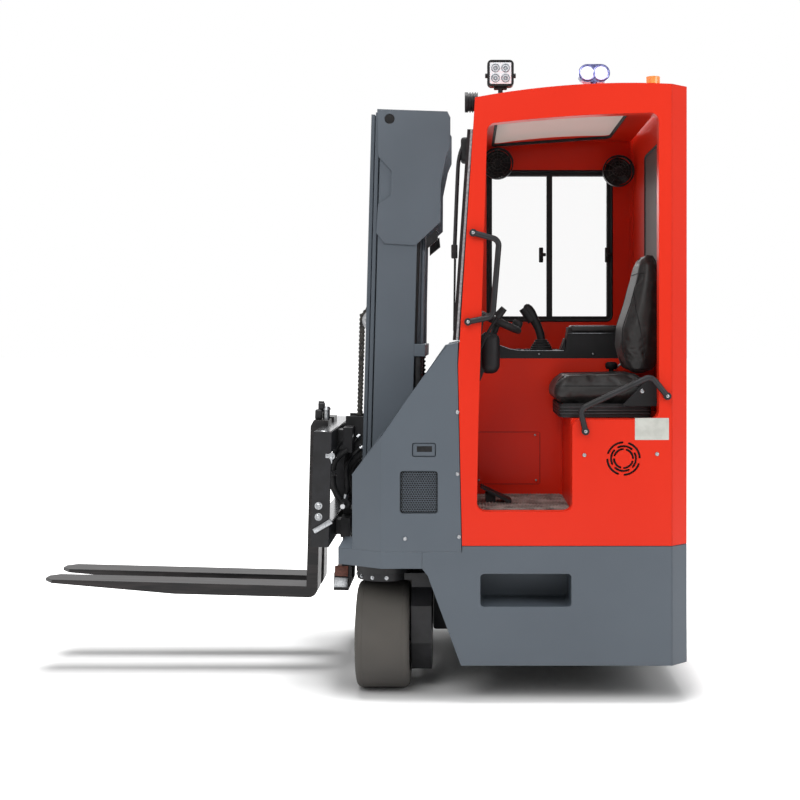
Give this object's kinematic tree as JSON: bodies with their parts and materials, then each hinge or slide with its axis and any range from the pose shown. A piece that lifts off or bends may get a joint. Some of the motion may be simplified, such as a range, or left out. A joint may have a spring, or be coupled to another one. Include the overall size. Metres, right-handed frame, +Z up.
{
  "type": "multidirectional fork truck",
  "caption": "Electric multidirectional fork truck with enclosed cab, steered wheels, telescopic mast, side-shifting carriage and forks.",
  "frame": {"origin": "on the floor, under the middle of the truck's length and width", "axes": "+X forward to the fork tips, +Y to the driver's left, +Z up"},
  "size_m": [2.5442, 1.223, 2.402],
  "materials": {
    "grey_paint": "satin powder coat",
    "red_paint": "semi-gloss enamel",
    "black_paint": "satin enamel",
    "fork_steel": "black enamel over forged steel",
    "plain_steel": "ground",
    "chain_steel": "oiled",
    "battery_case": "plain",
    "tyre_rubber": "used tread",
    "rim_paint": "satin",
    "clear_glass": "clear",
    "black_plastic": "moulded grain",
    "floor_rubber": "ribbed",
    "seat_cloth": "grained imitation leather",
    "lamp_body": "black anodised",
    "amber_lens": "clear amber"
  },
  "bodies": {
    "truck": {"chassis_frame": "grey_paint", "side_skirt_left": "grey_paint", "side_skirt_right": "grey_paint", "counterweight": "grey_paint", "battery": "battery_case", "front_deck_left": "grey_paint", "front_deck_right": "grey_paint", "front_housing_left": "grey_paint", "front_housing_right": "grey_paint", "tilt_barrels": "black_paint", "cab_side_left": "red_paint", "cab_side_right": "red_paint", "cab_rear_panel": "red_paint", "cab_roof": "red_paint", "cab_cowl": "red_paint", "windscreen": "clear_glass", "side_window_frame": "black_plastic", "window_panes": "clear_glass", "cab_floor": "floor_rubber", "aisle_wall": "red_paint", "seat_deck": "red_paint", "console": "black_plastic", "steering_column": "black_plastic", "drive_pedal": "black_plastic", "seat_bellows": "floor_rubber", "seat_cushion": "seat_cloth", "seat_back": "seat_cloth", "grab_handles": "black_paint", "work_lamps": "lamp_body", "twin_lamp": "lamp_body", "beacon": "amber_lens", "cab_fans": "black_plastic"},
    "mast": {"mast_outer_rails": "grey_paint", "mast_outer_frame": "grey_paint", "mast_covers": "grey_paint"},
    "middle_mast": {"mast_middle_rails": "grey_paint", "mast_middle_frame": "grey_paint"},
    "inner_mast": {"mast_inner_rails": "grey_paint", "mast_inner_frame": "grey_paint"},
    "lift_head": {"lift_head": "plain_steel", "lift_chains": "chain_steel"},
    "carriage": {"carriage": "black_paint"},
    "side_shift": {"side_shift_frame": "black_paint", "forks": "fork_steel"},
    "tilt_rods": {"tilt_rods": "plain_steel"},
    "steer_left": {"steer_unit_left": "black_paint"},
    "steer_right": {"steer_unit_right": "black_paint"},
    "steer_rear": {"steer_unit_rear": "black_paint"},
    "wheel_left": {"tyre_left": "tyre_rubber", "rim_left": "rim_paint"},
    "wheel_right": {"tyre_right": "tyre_rubber", "rim_right": "rim_paint"},
    "wheel_rear": {"tyre_rear": "tyre_rubber", "rim_rear": "rim_paint"},
    "steering_wheel": {"steering_wheel": "black_plastic"}
  },
  "joints": [
    {"name": "mast_tilt", "type": "hinge", "parent": "truck", "child": "mast", "pos_m": [-0.165, 0, 0.53], "axis": [0, 1, 0], "range_deg": [-1.5, 3.5]},
    {"name": "tilt_rod_slide", "type": "slide", "parent": "truck", "child": "tilt_rods", "axis": [1, 0, 0], "range_m": [-0.004, 0.008]},
    {"name": "middle_lift", "type": "slide", "parent": "mast", "child": "middle_mast", "axis": [-0.0262, 0, 0.9997], "range_m": [0, 1.45]},
    {"name": "inner_lift", "type": "slide", "parent": "middle_mast", "child": "inner_mast", "axis": [-0.0262, 0, 0.9997], "range_m": [0, 1.45]},
    {"name": "carriage_lift", "type": "slide", "parent": "inner_mast", "child": "carriage", "axis": [-0.0262, 0, 0.9997], "range_m": [-0.235, 1]},
    {"name": "head_lift", "type": "slide", "parent": "inner_mast", "child": "lift_head", "axis": [-0.0262, 0, 0.9997], "range_m": [-0.12, 0.505]},
    {"name": "side_shift", "type": "slide", "parent": "carriage", "child": "side_shift", "axis": [0, 1, 0], "range_m": [-0.075, 0.075]},
    {"name": "steer_left", "type": "hinge", "parent": "truck", "child": "steer_left", "pos_m": [-0.128, 0.36, 0.44], "axis": [0, 0, 1], "range_deg": [-105, 15]},
    {"name": "steer_right", "type": "hinge", "parent": "truck", "child": "steer_right", "pos_m": [-0.128, -0.36, 0.44], "axis": [0, 0, 1], "range_deg": [-15, 105]},
    {"name": "steer_rear", "type": "hinge", "parent": "truck", "child": "steer_rear", "pos_m": [-0.9, 0, 0.44], "axis": [0, 0, 1], "range_deg": [-100, 100]},
    {"name": "roll_left", "type": "hinge", "parent": "steer_left", "child": "wheel_left", "pos_m": [-0.128, 0.36, 0.203], "axis": [1, 0, 0], "continuous": true},
    {"name": "roll_right", "type": "hinge", "parent": "steer_right", "child": "wheel_right", "pos_m": [-0.128, -0.36, 0.203], "axis": [1, 0, 0], "continuous": true},
    {"name": "roll_rear", "type": "hinge", "parent": "steer_rear", "child": "wheel_rear", "pos_m": [-0.9, 0, 0.203], "axis": [1, 0, 0], "continuous": true},
    {"name": "hand_wheel_turn", "type": "hinge", "parent": "truck", "child": "steering_wheel", "pos_m": [-0.572, 0.335, 1.415], "axis": [-0.3987, 0, 0.9171], "continuous": true}
  ],
  "couplings": [
    {"joint": "tilt_rod_slide", "follows": "mast_tilt", "m_per_rad": 0.106},
    {"joint": "inner_lift", "follows": "middle_lift", "ratio": 1},
    {"joint": "head_lift", "follows": "carriage_lift", "ratio": 0.5}
  ]
}
